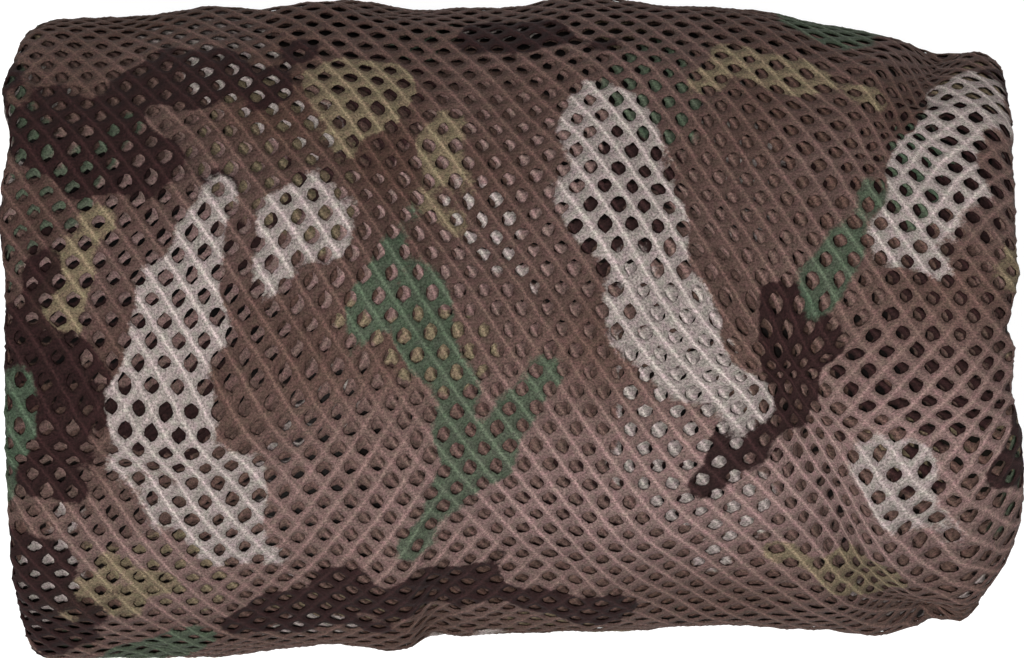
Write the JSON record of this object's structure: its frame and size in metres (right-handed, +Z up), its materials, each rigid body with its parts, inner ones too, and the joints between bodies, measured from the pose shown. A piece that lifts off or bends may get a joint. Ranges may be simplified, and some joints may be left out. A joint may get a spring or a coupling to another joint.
{
  "type": "rolled camouflage net",
  "caption": "Mesh camouflage net folded into a band and rolled up tightly, lying on its side with a small flat spot.",
  "frame": {"origin": "on the surface the roll rests on, under the middle of its bounding box", "axes": "+X along the roll towards its drawn-in end, +Z up, +Y towards the side where the band's loose end lies"},
  "size_m": [0.2006, 0.1292, 0.1148],
  "materials": {
    "net_cloth": "matte"
  },
  "bodies": {
    "root": {"net": "net_cloth"}
  },
  "joints": []
}
